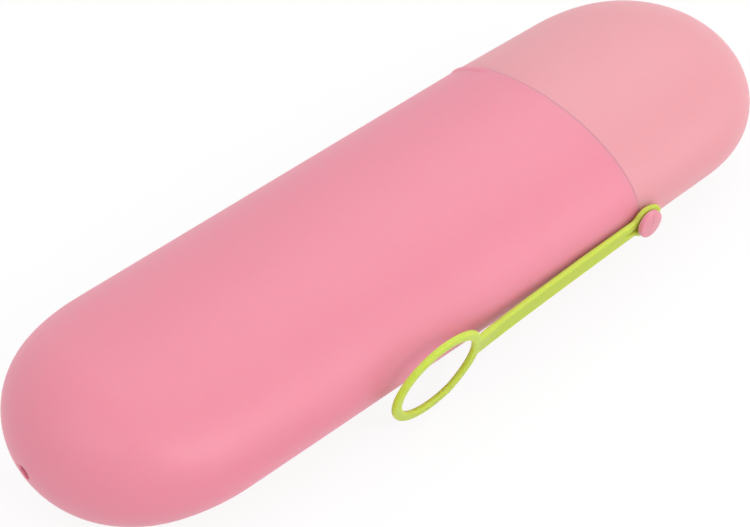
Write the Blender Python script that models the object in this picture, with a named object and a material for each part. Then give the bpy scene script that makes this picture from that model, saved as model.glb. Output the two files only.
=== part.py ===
"""Toothbrush travel case: two moulded shells, a strap and the button that holds it.

The case lies flat along X with its cap at +X. The strap hangs on the -Y side, and the
case rests on the plane Z = 0, under its middle. All sizes are in metres.
"""

import math

import bmesh
import bpy
from mathutils import Matrix, Vector
from mathutils.geometry import interpolate_bezier

MM = 0.001

# Whole case
CASE_LENGTH = 210.0 * MM
CASE_THICKNESS = 34.0 * MM
SEAM_WIDTH = 64.0 * MM
REST_FLAT_DEPTH = 0.25 * MM
END_CURVE_POWER = 2.07

# Body shell
BODY_TIP_WIDTH = 61.2 * MM
BODY_PLAN_ROUNDING = 34.0 * MM
BODY_SIDE_ROUNDING = 19.6 * MM
BODY_WALL = 1.8 * MM

# Cap shell
CAP_LENGTH = 61.0 * MM
CAP_TIP_WIDTH = 62.0 * MM
CAP_PLAN_ROUNDING = 33.3 * MM
CAP_SIDE_ROUNDING = 25.2 * MM
CAP_WALL = 1.8 * MM
SEAM_GAP = 0.3 * MM

# Neck of the body, which the cap slides over
NECK_REACH = 13.0 * MM
NECK_WALL = 1.3 * MM
NECK_CLEARANCE = 0.5 * MM
NECK_ROOT = 5.0 * MM
NECK_ROOT_TAPER = 4.0 * MM
NECK_LEAD_IN = 0.6 * MM
BEAD_HEIGHT = 0.2 * MM
BEAD_WIDTH = 1.6 * MM
BEAD_SETBACK = 4.0 * MM

# Low finger lug on the body's far shoulder, beside the seam
LUG_LENGTH = 2.2 * MM
LUG_HEIGHT = 0.35 * MM
LUG_SPAN = 7.4 * MM
LUG_RISE = 10.9 * MM
LUG_EDGE = 0.6 * MM

# Drain hole in the body's end
DRAIN_DIAMETER = 3.4 * MM
DRAIN_SIDE_OFFSET = 1.8 * MM
DRAIN_DROP = 1.15 * MM

# Button that carries the strap
STEM_DIAMETER = 2.3 * MM
STEM_CLEARANCE = 0.35 * MM
HEAD_DIAMETER = 6.9 * MM
HEAD_RIM = 1.35 * MM
HEAD_DOME = 0.35 * MM
HEAD_EDGE = 0.15 * MM
FLANGE_DIAMETER = 4.8 * MM
FLANGE_THICKNESS = 0.9 * MM
FLANGE_CLEARANCE = 0.35 * MM
GROOVE_WIDTH = 0.45 * MM
GROOVE_DEPTH = 0.2 * MM
GROOVE_SHIFT = 0.45 * MM
GROOVE_LEAN = math.radians(11.0)

# Strap
STRAP_THICKNESS = 1.4 * MM
STRAP_EDGE = 0.4 * MM
STRAP_PLAY = 0.6 * MM
STRAP_STANDOFF = 0.75 * MM
STRAP_REACH = 67.8 * MM
STRAP_SAG = 1.75 * MM
BAND_ABOVE = 1.95 * MM
BAND_NECK_ABOVE = 1.6 * MM
BAND_TAPER_LENGTH = 16.0 * MM
BAND_BELOW = 2.7 * MM
BAND_FLARE = 0.5 * MM
BAND_FLARE_LENGTH = 8.0 * MM
RING_OUTER_DIAMETER = 25.7 * MM
RING_HOLE_DIAMETER = 20.9 * MM
RING_DROP = 0.35 * MM
RING_LEAN = math.radians(12.9)
RING_SIDE_CLEARANCE = 0.4 * MM
TWIST_START = 46.0 * MM
TWIST_END = 58.0 * MM
BOW_END = 62.0 * MM
LOOP_END_LENGTH = 5.2 * MM
LOOP_ABOVE = 3.25 * MM
LOOP_BELOW = 4.5 * MM
LOOP_CENTRE = 0.2 * MM
LOOP_SHOULDER = 4.0 * MM
EYE_END_LENGTH = 2.2 * MM
EYE_HALF_HEIGHT = 1.475 * MM
EYE_DROP = 0.125 * MM
SLIT_REACH = 6.0 * MM
SLIT_HALF_HEIGHT = 0.13 * MM
SLIT_DROP = 0.78 * MM

# Share of the strap's outward swing that it makes as a bow, before it steps out and leans
BOW_SHARE = 0.7

# Places along the shoulders and the slit where their curves leave and arrive
SHOULDER_SHARES = (0.55, 0.4)
EYE_TOP_SHARES = (0.33, 1.0)
EYE_BOTTOM_SHARES = (0.6, 0.3)

# How finely the round shapes are divided
CASE_SIDES = 64
END_RINGS = 9
INNER_END_RINGS = 7
BUTTON_SIDES = 32
RING_SIDES = 40
CURVE_STEPS = 7
BAND_STEPS = 9

CUT_OVERRUN = 2.0 * MM

# Edges that turn more than this are drawn crisp, and points this close are one point
CRISP_ANGLE = math.radians(40.0)
MERGE_GAP = 0.005 * MM

# Places that follow from the sizes above
SEAM_X = CASE_LENGTH / 2 - CAP_LENGTH
MID_Z = CASE_THICKNESS / 2 - REST_FLAT_DEPTH
BODY_LENGTH = CASE_LENGTH - CAP_LENGTH
WIDEST_HALF = max(SEAM_WIDTH, BODY_TIP_WIDTH, CAP_TIP_WIDTH) / 2


def clear_scene():
    for item in list(bpy.data.objects):
        bpy.data.objects.remove(item)


def plastic(name, colour, roughness):
    """A moulded plastic with one colour."""
    material = bpy.data.materials.new(name)
    material.use_nodes = True
    shader = material.node_tree.nodes["Principled BSDF"]
    shader.inputs["Base Color"].default_value = (*colour, 1.0)
    shader.inputs["Roughness"].default_value = roughness
    shader.inputs["Metallic"].default_value = 0.0
    return material


def add_object(name, bm, material, location):
    """Turn a bmesh into a named, smooth shaded object at a place."""
    bmesh.ops.recalc_face_normals(bm, faces=bm.faces)
    mesh = bpy.data.meshes.new(name)
    bm.to_mesh(mesh)
    bm.free()
    mesh.shade_smooth()
    mesh.set_sharp_from_angle(angle=CRISP_ANGLE)
    mesh.materials.append(material)
    item = bpy.data.objects.new(name, mesh)
    item.location = location
    bpy.context.scene.collection.objects.link(item)
    return item


def add_cutter(name, bm, target):
    """Cut a shape out of an object. The cutter shares the object's origin."""
    bmesh.ops.recalc_face_normals(bm, faces=bm.faces)
    mesh = bpy.data.meshes.new(name)
    bm.to_mesh(mesh)
    bm.free()
    cutter = bpy.data.objects.new(name, mesh)
    cutter.parent = target
    cutter.hide_render = True
    cutter.display_type = "WIRE"
    bpy.context.scene.collection.objects.link(cutter)
    cut = target.modifiers.new(name, "BOOLEAN")
    cut.operation = "DIFFERENCE"
    cut.solver = "EXACT"
    cut.object = cutter


def smooth_step(share):
    """Rise from 0 to 1 with a level start and end."""
    share = min(max(share, 0.0), 1.0)
    return share * share * (3.0 - 2.0 * share)


# Shells

def end_curve(distance, rounding):
    """How full the case is at a distance from its tip: 0 at the tip, 1 past the rounding."""
    left = 1.0 - min(max(distance / rounding, 0.0), 1.0)
    return (1.0 - left ** END_CURVE_POWER) ** (1.0 / END_CURVE_POWER)


def half_sizes(distance, inset, shape):
    """Half width and half thickness at a distance from the outer tip of a shell.

    inset is how deep the skin lies under the outside of the case.
    """
    length, tip_width, plan_rounding, side_rounding = shape
    from_tip = distance - inset
    drafted = tip_width + (SEAM_WIDTH - tip_width) * distance / length
    half_width = (drafted / 2 - inset) * end_curve(from_tip, plan_rounding - inset)
    half_thickness = (CASE_THICKNESS / 2 - inset) * end_curve(from_tip, side_rounding - inset)
    return half_width, half_thickness


BODY_SHAPE = (BODY_LENGTH, BODY_TIP_WIDTH, BODY_PLAN_ROUNDING, BODY_SIDE_ROUNDING)
CAP_SHAPE = (CAP_LENGTH, CAP_TIP_WIDTH, CAP_PLAN_ROUNDING, CAP_SIDE_ROUNDING)


def end_distances(rounding, inset, count):
    """Distances from the outer tip, closer together where the end curves most."""
    span = rounding - inset
    steps = range(1, count + 1)
    return [inset + span * (1.0 - math.cos(math.pi / 2 * step / count)) for step in steps]


def lug_height(x, z):
    """How far the finger lug stands out of the body. x and z are from the seam's middle."""
    start = -SEAM_GAP / 2 - LUG_LENGTH
    along = smooth_step((x - start) / LUG_EDGE)
    across = smooth_step((LUG_SPAN / 2 - abs(z - LUG_RISE)) / LUG_EDGE)
    return LUG_HEIGHT * along * across


def place_ring(ring, angle, x, half_width, half_thickness, lug=False):
    """Set a ring's size and place, flat where it would pass below the resting plane."""
    for vert in ring:
        across = math.cos(vert[angle])
        up = math.sin(vert[angle])
        place = Vector((x, across * half_width, up * half_thickness))
        if lug and across > 0.0:
            outward = Vector((0.0, across / half_width, up / half_thickness)).normalized()
            place += outward * lug_height(x, place.z)
        place.z = max(place.z, -MID_Z)
        vert.co = place


def close_tip(bm, ring, x):
    """Close the end of a shell with a fan of faces round its tip."""
    edges = {edge for vert in ring for edge in vert.link_edges if edge.is_boundary}
    faces = bmesh.ops.edgeloop_fill(bm, edges=list(edges))["faces"]
    centre = bmesh.ops.poke(bm, faces=faces)["verts"][0]
    centre.co = Vector((x, 0.0, 0.0))


def loft(rings, outer_tip, inner_tip):
    """Draw one oval ring along a shell, from the outer tip over the rim to the inner tip."""
    bm = bmesh.new()
    angle = bm.verts.layers.float.new("angle")
    first = bmesh.ops.create_circle(bm, segments=CASE_SIDES, radius=1.0)["verts"]
    for vert in first:
        vert[angle] = math.atan2(vert.co.y, vert.co.x)
    place_ring(first, angle, *rings[0])
    last = first
    for ring in rings[1:]:
        edges = {edge for vert in last for edge in vert.link_edges}
        edges = [edge for edge in edges if all(vert in last for vert in edge.verts)]
        made = bmesh.ops.extrude_edge_only(bm, edges=edges)["geom"]
        last = [item for item in made if isinstance(item, bmesh.types.BMVert)]
        place_ring(last, angle, *ring)
    close_tip(bm, first, outer_tip)
    close_tip(bm, last, inner_tip)
    return bm


def cap_bore(x):
    """Half sizes inside the cap at x from the seam."""
    return half_sizes(CAP_LENGTH - x, CAP_WALL, CAP_SHAPE)


def neck_ring(x, raise_by):
    """A ring of the neck, which follows the inside of the cap."""
    half_width, half_thickness = cap_bore(max(x, 0.0))
    grow = raise_by - NECK_CLEARANCE
    return x, half_width + grow, half_thickness + grow


def body_rings():
    """Rings of the body: outside, shoulder, neck with its bead, and inside."""
    shoulder = -SEAM_GAP / 2
    lug_start = shoulder - LUG_LENGTH
    distances = end_distances(BODY_PLAN_ROUNDING, 0.0, END_RINGS)
    straight = BODY_LENGTH - BODY_PLAN_ROUNDING
    distances.append(BODY_PLAN_ROUNDING + straight / 2)
    distances += [BODY_LENGTH + lug_start, BODY_LENGTH + lug_start + LUG_EDGE]
    distances.append(BODY_LENGTH + shoulder)
    rings = []
    for distance in distances:
        x = distance - BODY_LENGTH
        rings.append((x, *half_sizes(distance, 0.0, BODY_SHAPE), True))

    bead = NECK_REACH - BEAD_SETBACK
    rings.append(neck_ring(shoulder, 0.0))
    rings.append(neck_ring(bead - BEAD_WIDTH, 0.0))
    rings.append(neck_ring(bead - BEAD_WIDTH / 2, BEAD_HEIGHT))
    rings.append(neck_ring(bead, 0.0))
    rings.append(neck_ring(NECK_REACH - NECK_LEAD_IN, 0.0))
    rings.append(neck_ring(NECK_REACH, -NECK_LEAD_IN / 2))
    rings.append(neck_ring(NECK_REACH, -NECK_WALL))
    rings.append(neck_ring(-NECK_ROOT, -NECK_WALL))

    inner = end_distances(BODY_PLAN_ROUNDING, BODY_WALL, INNER_END_RINGS)
    inner.append(BODY_PLAN_ROUNDING + straight / 2)
    inner.append(BODY_LENGTH - NECK_ROOT - NECK_ROOT_TAPER)
    for distance in reversed(inner):
        x = distance - BODY_LENGTH
        rings.append((x, *half_sizes(distance, BODY_WALL, BODY_SHAPE)))
    return rings


def cap_rings():
    """Rings of the cap: outside, rim and inside."""
    rim = SEAM_GAP / 2
    outer = end_distances(CAP_PLAN_ROUNDING, 0.0, END_RINGS)
    outer.append(CAP_LENGTH - rim)
    rings = []
    for distance in outer:
        x = CAP_LENGTH - distance
        rings.append((x, *half_sizes(distance, 0.0, CAP_SHAPE)))
    inner = end_distances(CAP_PLAN_ROUNDING, CAP_WALL, INNER_END_RINGS)
    inner.append(CAP_LENGTH - rim)
    for distance in reversed(inner):
        x = CAP_LENGTH - distance
        rings.append((x, *half_sizes(distance, CAP_WALL, CAP_SHAPE)))
    return rings


def bar(radius, first, last, axis, centre):
    """A round cutter along X or Y between two places, through a centre."""
    bm = bmesh.new()
    bmesh.ops.create_cone(
        bm,
        cap_ends=True,
        segments=BUTTON_SIDES,
        radius1=radius,
        radius2=radius,
        depth=last - first,
    )
    turn = Matrix.Rotation(math.pi / 2, 4, "Y" if axis == "X" else "X")
    middle = (first + last) / 2
    move = Vector((middle, 0.0, 0.0)) if axis == "X" else Vector((0.0, middle, 0.0))
    bmesh.ops.transform(bm, matrix=turn, verts=bm.verts)
    bmesh.ops.translate(bm, vec=move + Vector(centre), verts=bm.verts)
    return bm


def stem_hole():
    """Cutter for the hole round the button's stem, shared by the body and the cap."""
    radius = STEM_DIAMETER / 2 + STEM_CLEARANCE
    outside = -WIDEST_HALF - CUT_OVERRUN
    inside = -SEAM_WIDTH / 2 + CAP_WALL + NECK_CLEARANCE + NECK_WALL + CUT_OVERRUN
    return bar(radius, outside, inside, "Y", (0.0, 0.0, 0.0))


def make_body(material):
    outer_tip = -BODY_LENGTH
    bm = loft(body_rings(), outer_tip, outer_tip + BODY_WALL)
    body = add_object("body_shell", bm, material, (SEAM_X, 0.0, MID_Z))
    start = outer_tip - CUT_OVERRUN
    end = outer_tip + BODY_WALL + CUT_OVERRUN
    centre = (0.0, DRAIN_SIDE_OFFSET, -DRAIN_DROP)
    add_cutter("drain_cutter", bar(DRAIN_DIAMETER / 2, start, end, "X", centre), body)
    add_cutter("body_stem_cutter", stem_hole(), body)


def make_cap(material):
    bm = loft(cap_rings(), CAP_LENGTH, CAP_LENGTH - CAP_WALL)
    cap = add_object("cap_shell", bm, material, (SEAM_X, 0.0, MID_Z))
    add_cutter("cap_stem_cutter", stem_hole(), cap)


# Button

STRAP_Y = -(WIDEST_HALF + STRAP_STANDOFF + STRAP_THICKNESS / 2)


def neck_inside_at(z):
    """Half width inside the neck, at the seam and a height from its middle."""
    half_width, half_thickness = cap_bore(0.0)
    inset = NECK_CLEARANCE + NECK_WALL
    return (half_width - inset) * math.sqrt(1.0 - (z / (half_thickness - inset)) ** 2)


def make_button(material):
    """A domed head, a stem and a flange, turned about the Y axis."""
    head_under = -(STRAP_THICKNESS / 2 + STRAP_PLAY)
    head_face = head_under - HEAD_RIM
    flange_face = FLANGE_CLEARANCE - neck_inside_at(FLANGE_DIAMETER / 2) - STRAP_Y
    flange_back = flange_face + FLANGE_THICKNESS
    head = HEAD_DIAMETER / 2
    stem = STEM_DIAMETER / 2
    flange = FLANGE_DIAMETER / 2
    dome_radius = (head ** 2 + HEAD_DOME ** 2) / (2 * HEAD_DOME)

    profile = [(0.0, flange_back), (flange, flange_back), (flange, flange_face)]
    profile += [(stem, flange_face), (stem, head_under)]
    profile += [(head - HEAD_EDGE, head_under), (head, head_under - HEAD_EDGE)]
    for step in range(CURVE_STEPS):
        radius = head * math.cos(math.pi / 2 * step / CURVE_STEPS)
        rise = math.sqrt(dome_radius ** 2 - radius ** 2) - (dome_radius - HEAD_DOME)
        profile.append((radius, head_face - rise))
    profile.append((0.0, head_face - HEAD_DOME))

    bm = bmesh.new()
    points = [bm.verts.new((radius, y, 0.0)) for radius, y in profile]
    edges = [bm.edges.new(pair) for pair in zip(points, points[1:])]
    bmesh.ops.spin(
        bm,
        geom=points + edges,
        cent=(0.0, 0.0, 0.0),
        axis=(0.0, 1.0, 0.0),
        angle=math.tau,
        steps=BUTTON_SIDES,
        use_merge=True,
    )
    bmesh.ops.remove_doubles(bm, verts=bm.verts, dist=MERGE_GAP)
    button = add_object("strap_button", bm, material, (SEAM_X, STRAP_Y, MID_Z))

    groove = bmesh.new()
    bmesh.ops.create_cube(groove, size=1.0)
    bmesh.ops.rotate(groove, matrix=Matrix.Rotation(math.pi / 4, 3, "Z"), verts=groove.verts)
    widest = math.sqrt(2.0)
    size = (GROOVE_WIDTH / widest, 2 * GROOVE_DEPTH / widest, HEAD_DIAMETER + CUT_OVERRUN)
    bmesh.ops.scale(groove, vec=size, verts=groove.verts)
    bmesh.ops.rotate(groove, matrix=Matrix.Rotation(GROOVE_LEAN, 3, "Y"), verts=groove.verts)
    apex = head_face - HEAD_DOME
    bmesh.ops.translate(groove, vec=(-GROOVE_SHIFT, apex, 0.0), verts=groove.verts)
    add_cutter("groove_cutter", groove, button)


# Strap

def ring_plane_y():
    """Where the middle of the ring stands, so that its leaning edge clears the case."""
    from_tip = BODY_LENGTH - STRAP_REACH
    half_width, _ = half_sizes(from_tip, 0.0, BODY_SHAPE)
    lean = RING_OUTER_DIAMETER / 2 * math.sin(RING_LEAN)
    half_thickness = STRAP_THICKNESS / 2 * math.cos(RING_LEAN)
    return -(half_width + RING_SIDE_CLEARANCE + lean + half_thickness)


def strap_place(u, v, w):
    """Bend the flat strap to its shape.

    u runs from the button along the strap, v is up the strap and w out of its face.
    """
    twist = smooth_step((u - TWIST_START) / (TWIST_END - TWIST_START))
    bow = min(max(u / BOW_END, 0.0), 1.0) ** 3
    y = (ring_plane_y() - STRAP_Y) * (BOW_SHARE * bow + (1.0 - BOW_SHARE) * twist)
    along = min(max(u / STRAP_REACH, 0.0), 1.0)
    z = -STRAP_SAG * (1.0 - (1.0 - along) ** 2)
    lean = RING_LEAN * twist
    up = Vector((0.0, -math.sin(lean), math.cos(lean)))
    out = Vector((0.0, -math.cos(lean), -math.sin(lean)))
    return Vector((-u, y, z)) + up * v + out * w


def curve_between(start, end, shares):
    """A level start and a level end, joined by one curve."""
    span = end[0] - start[0]
    first = Vector((start[0] + span * shares[0], start[1], 0.0))
    second = Vector((end[0] - span * shares[1], end[1], 0.0))
    points = interpolate_bezier(
        Vector((*start, 0.0)), first, second, Vector((*end, 0.0)), CURVE_STEPS + 1
    )
    return [(point.x, point.y) for point in points]


def arc(centre, size, first, last, steps):
    """Part of an ellipse between two angles, in degrees."""
    angles = [math.radians(first + (last - first) * step / steps) for step in range(steps + 1)]
    return [
        (centre[0] + size[0] * math.cos(angle), centre[1] + size[1] * math.sin(angle))
        for angle in angles
    ]


def band_edge(start, end, v):
    """Points along one straight edge of the band, ends left out."""
    steps = range(1, BAND_STEPS)
    return [(start + (end - start) * step / BAND_STEPS, v) for step in steps]


def neck_drop(u):
    """How much lower the band's upper edge runs near the loop."""
    share = min((u - LOOP_SHOULDER) / BAND_TAPER_LENGTH, 1.0)
    return (BAND_ABOVE - BAND_NECK_ABOVE) * (1.0 - share)


def flare_rise(u, ring_start):
    """How much higher the band's upper edge runs where it grows into the ring."""
    return BAND_FLARE * smooth_step(1.0 - (ring_start - u) / BAND_FLARE_LENGTH)


def strap_outline():
    """The outside of the strap, from the ring along the lower edge and back on top."""
    outer = RING_OUTER_DIAMETER / 2
    centre = (STRAP_REACH, -RING_DROP)
    rise = BAND_ABOVE + BAND_FLARE + RING_DROP
    fall = BAND_BELOW - RING_DROP
    meets_above = STRAP_REACH - math.sqrt(outer ** 2 - rise ** 2)
    meets_below = STRAP_REACH - math.sqrt(outer ** 2 - fall ** 2)
    first = 180 - math.degrees(math.asin(rise / outer))
    last = math.degrees(math.asin(fall / outer)) - 180
    end = (-LOOP_CENTRE, 0.0)

    points = arc(centre, (outer, outer), first, last, RING_SIDES)
    points += band_edge(meets_below, LOOP_SHOULDER, -BAND_BELOW)
    points += curve_between(
        (LOOP_SHOULDER, -BAND_BELOW), (-LOOP_CENTRE, -LOOP_BELOW), SHOULDER_SHARES[::-1]
    )
    points += arc(end, (LOOP_END_LENGTH, LOOP_BELOW), -90, -180, CURVE_STEPS)[1:]
    points += arc(end, (LOOP_END_LENGTH, LOOP_ABOVE), 180, 90, CURVE_STEPS)[1:]
    points += curve_between(
        (-LOOP_CENTRE, LOOP_ABOVE), (LOOP_SHOULDER, BAND_NECK_ABOVE), SHOULDER_SHARES
    )[1:]
    upper = band_edge(LOOP_SHOULDER, meets_above, BAND_ABOVE)
    points += [(u, v - neck_drop(u) + flare_rise(u, meets_above)) for u, v in upper]
    return points


def eye_outline():
    """The hole round the button's stem, drawn out into a slit."""
    top = (0.0, EYE_HALF_HEIGHT - EYE_DROP)
    bottom = (0.0, -EYE_HALF_HEIGHT - EYE_DROP)
    slit_top = (SLIT_REACH, SLIT_HALF_HEIGHT - SLIT_DROP)
    slit_bottom = (SLIT_REACH, -SLIT_HALF_HEIGHT - SLIT_DROP)
    points = arc((0.0, -EYE_DROP), (EYE_END_LENGTH, EYE_HALF_HEIGHT), 90, 270, 2 * CURVE_STEPS)
    points += curve_between(bottom, slit_bottom, EYE_BOTTOM_SHARES)[1:]
    points += curve_between(top, slit_top, EYE_TOP_SHARES)[:0:-1]
    return points


def ring_hole_outline():
    hole = RING_HOLE_DIAMETER / 2
    return arc((STRAP_REACH, -RING_DROP), (hole, hole), 0, 360, RING_SIDES)[:-1]


def add_outline(bm, points, w):
    """One closed run of edges at a height."""
    verts = [bm.verts.new((u, v, w)) for u, v in points]
    return [bm.edges.new(pair) for pair in zip(verts, verts[1:] + verts[:1])]


def make_strap(material):
    """Fill the flat outline, give it thickness and soft edges, then bend it."""
    bm = bmesh.new()
    core = STRAP_THICKNESS - 2 * STRAP_EDGE
    edges = []
    for points in (strap_outline(), eye_outline(), ring_hole_outline()):
        edges += add_outline(bm, points, -core / 2)
    bmesh.ops.triangle_fill(bm, edges=edges, use_beauty=True, normal=(0.0, 0.0, 1.0))
    back = list(bm.faces)
    front = bmesh.ops.extrude_face_region(bm, geom=back)["geom"]
    front_faces = [item for item in front if isinstance(item, bmesh.types.BMFace)]
    front_verts = [item for item in front if isinstance(item, bmesh.types.BMVert)]
    bmesh.ops.translate(bm, vec=(0.0, 0.0, core), verts=front_verts)
    bmesh.ops.recalc_face_normals(bm, faces=bm.faces)
    back = [face for face in bm.faces if all(vert.co.z < 0.0 for vert in face.verts)]
    for faces in (back, front_faces):
        bmesh.ops.inset_region(
            bm,
            faces=faces,
            thickness=STRAP_EDGE,
            depth=STRAP_EDGE,
            use_even_offset=True,
        )
    for vert in bm.verts:
        vert.co = strap_place(*vert.co)
    add_object("hanging_strap", bm, material, (SEAM_X, STRAP_Y, MID_Z))


def main():
    clear_scene()
    make_body(plastic("body_pink", (0.90, 0.30, 0.40), 0.45))
    make_cap(plastic("cap_pink", (0.90, 0.38, 0.43), 0.45))
    make_button(plastic("button_pink", (0.88, 0.31, 0.40), 0.4))
    make_strap(plastic("strap_lime", (0.58, 0.68, 0.10), 0.5))


main()
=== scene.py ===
# %% [markdown]
# # A toothbrush travel case
#
# Two smooth pink shells, a soft lime strap and the pink button that carries it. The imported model
# already holds these four pieces at their real size and place. This lesson gives each of them a
# finer surface and a moulded plastic finish, then lights them like a product on a white table.

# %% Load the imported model
import math

import bmesh
import bpy
from mathutils import Matrix, Vector
from mathutils.geometry import interpolate_bezier


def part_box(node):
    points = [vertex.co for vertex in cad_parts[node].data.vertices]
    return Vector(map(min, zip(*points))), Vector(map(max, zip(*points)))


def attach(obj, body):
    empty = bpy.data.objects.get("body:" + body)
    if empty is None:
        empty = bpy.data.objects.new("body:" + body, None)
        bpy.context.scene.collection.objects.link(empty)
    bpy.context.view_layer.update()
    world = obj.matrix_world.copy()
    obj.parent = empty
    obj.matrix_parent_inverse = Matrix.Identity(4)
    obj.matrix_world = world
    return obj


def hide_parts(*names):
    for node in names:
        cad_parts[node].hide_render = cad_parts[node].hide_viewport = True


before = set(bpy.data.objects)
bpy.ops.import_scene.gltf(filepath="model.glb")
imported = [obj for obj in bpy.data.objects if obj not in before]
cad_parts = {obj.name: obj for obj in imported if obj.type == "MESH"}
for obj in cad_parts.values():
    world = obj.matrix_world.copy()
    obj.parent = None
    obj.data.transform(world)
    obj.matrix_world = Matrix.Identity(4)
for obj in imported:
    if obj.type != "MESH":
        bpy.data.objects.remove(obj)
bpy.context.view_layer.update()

# %% [markdown]
# ## Where things are
#
# Every new piece has to lie where its solid lies, so the seam, the tips and the height of the
# case's middle are read from the solids' boxes. Both tips are equally far from the origin. What
# can't be read from a box is named here as a real size.

# %% Places read from the solids
MM = 0.001

SEAM_GAP = 0.3 * MM
REST_FLAT_DEPTH = 0.25 * MM

cap_low, cap_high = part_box("cap_shell")
_, body_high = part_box("body_shell")

SEAM_X = cap_low.x - SEAM_GAP / 2
CAP_TIP_X = cap_high.x
BODY_TIP_X = -cap_high.x
CASE_THICKNESS = body_high.z + REST_FLAT_DEPTH
MID_Z = CASE_THICKNESS / 2 - REST_FLAT_DEPTH
BODY_LENGTH = SEAM_X - BODY_TIP_X
CAP_LENGTH = CAP_TIP_X - SEAM_X
print("seam at x =", round(SEAM_X / MM, 2), "mm, middle at z =", round(MID_Z / MM, 2), "mm")

# %% [markdown]
# ## Helpers for meshes
#
# A piece starts as a bmesh. When it is done, it becomes an object at the origin whose place is in
# its mesh, and its faces are shaded smooth, with crisp edges only where the surface really turns.
# What a modifier makes of a piece is kept as its mesh at once, so the next step can build on it.

# %% From a bmesh to a finished object
CRISP_ANGLE = math.radians(35.0)


def finish_mesh(bm, name):
    """Make an object of a bmesh, at the origin, with its faces pointing out."""
    bmesh.ops.recalc_face_normals(bm, faces=bm.faces)
    mesh = bpy.data.meshes.new(name)
    bm.to_mesh(mesh)
    bm.free()
    mesh.shade_smooth()
    mesh.set_sharp_from_angle(angle=CRISP_ANGLE)
    piece = bpy.data.objects.new(name, mesh)
    bpy.context.scene.collection.objects.link(piece)
    return piece


def settle(piece):
    """Keep the result of a piece's modifiers as its mesh."""
    graph = bpy.context.evaluated_depsgraph_get()
    mesh = bpy.data.meshes.new_from_object(piece.evaluated_get(graph), depsgraph=graph)
    piece.modifiers.clear()
    piece.data = mesh
    mesh.shade_smooth()
    mesh.set_sharp_from_angle(angle=CRISP_ANGLE)
    print(piece.name, "has", len(mesh.polygons), "faces")


# %% [markdown]
# ## Helpers for holes and turned shapes
#
# A hole could be drawn into the skin face by face, but the skin curves both ways round it. A
# Boolean modifier with a closed cutter finds the hole's edge by itself. What is round, a cutter or
# the button, is turned: its half outline is spun once about its axis.

# %% Cut and turn
MERGE_GAP = 0.002 * MM


def cut(piece, *cutters):
    """Cut closed bmeshes out of a piece and keep the result."""
    shapes = [finish_mesh(bm, piece.name + "_cutter") for bm in cutters]
    for shape in shapes:
        modifier = piece.modifiers.new("cut", "BOOLEAN")
        modifier.operation = "DIFFERENCE"
        modifier.solver = "EXACT"
        modifier.object = shape
    settle(piece)
    for shape in shapes:
        bpy.data.objects.remove(shape)


def turned(profile, centre, along, steps):
    """Spin a profile of (along, radius) points about an axis through a centre."""
    bm = bmesh.new()
    side = along.orthogonal().normalized()
    points = [bm.verts.new(centre + along * place + side * radius) for place, radius in profile]
    edges = [bm.edges.new(pair) for pair in zip(points, points[1:])]
    bmesh.ops.spin(
        bm,
        geom=points + edges,
        cent=centre,
        axis=along,
        angle=math.tau,
        steps=steps,
        use_merge=True,
    )
    bmesh.ops.remove_doubles(bm, verts=bm.verts, dist=MERGE_GAP)
    return bm


# %% [markdown]
# ## The shape of the shells
#
# Seen from above, the case is a long tablet whose ends are nearly half round. Seen from the side,
# the ends are rounder still, because the case is thin. Every cross section is an ellipse. So the
# whole skin follows from two curves: how wide and how thick the case is at each distance from a
# tip.

# %% Sizes of the shells
SEAM_WIDTH = 64.0 * MM
END_CURVE_POWER = 2.07

BODY_TIP_WIDTH = 61.2 * MM
BODY_PLAN_ROUNDING = 34.0 * MM
BODY_SIDE_ROUNDING = 19.6 * MM
BODY_WALL = 1.8 * MM

CAP_TIP_WIDTH = 62.0 * MM
CAP_PLAN_ROUNDING = 33.3 * MM
CAP_SIDE_ROUNDING = 25.2 * MM
CAP_WALL = 1.8 * MM

BODY_SHAPE = (BODY_LENGTH, BODY_TIP_WIDTH, BODY_PLAN_ROUNDING, BODY_SIDE_ROUNDING)
CAP_SHAPE = (CAP_LENGTH, CAP_TIP_WIDTH, CAP_PLAN_ROUNDING, CAP_SIDE_ROUNDING)


def clamped(share):
    """A share, kept between 0 and 1."""
    return min(max(share, 0.0), 1.0)


def end_curve(distance, rounding):
    """How full the case is at a distance from its tip: 0 at the tip, 1 past the rounding."""
    left = 1.0 - clamped(distance / rounding)
    return (1.0 - left ** END_CURVE_POWER) ** (1.0 / END_CURVE_POWER)


def half_sizes(distance, inset, shape):
    """Half width and half thickness at a distance from the tip, inset below the skin."""
    length, tip_width, plan_rounding, side_rounding = shape
    from_tip = distance - inset
    drafted = tip_width + (SEAM_WIDTH - tip_width) * distance / length
    half_width = (drafted / 2 - inset) * end_curve(from_tip, plan_rounding - inset)
    half_thickness = (CASE_THICKNESS / 2 - inset) * end_curve(from_tip, side_rounding - inset)
    return half_width, half_thickness


print("half width at the seam:", half_sizes(BODY_LENGTH, 0.0, BODY_SHAPE)[0] / MM, "mm")

# %% [markdown]
# ## The finger lug
#
# Beside the seam, on the far shoulder of the body, a low pad stands 0.35 mm proud. It gives a
# fingertip something to push on. It could be a piece of its own, but on the real case it is part of
# the moulding, so the rings simply swell there.

# %% Height of the finger lug
LUG_LENGTH = 2.2 * MM
LUG_HEIGHT = 0.35 * MM
LUG_SPAN = 7.4 * MM
LUG_RISE = 10.9 * MM
LUG_EDGE = 1.1 * MM


def smooth_step(share):
    """Rise from 0 to 1 with a level start and end."""
    share = clamped(share)
    return share * share * (3.0 - 2.0 * share)


def lug_height(x, z):
    """How far the lug stands out of the body at a place on its skin."""
    start = SEAM_X - SEAM_GAP / 2 - LUG_LENGTH
    along = smooth_step((x - start) / LUG_EDGE)
    across = smooth_step((LUG_SPAN / 2 - abs(z - MID_Z - LUG_RISE)) / LUG_EDGE)
    return LUG_HEIGHT * along * across


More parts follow.
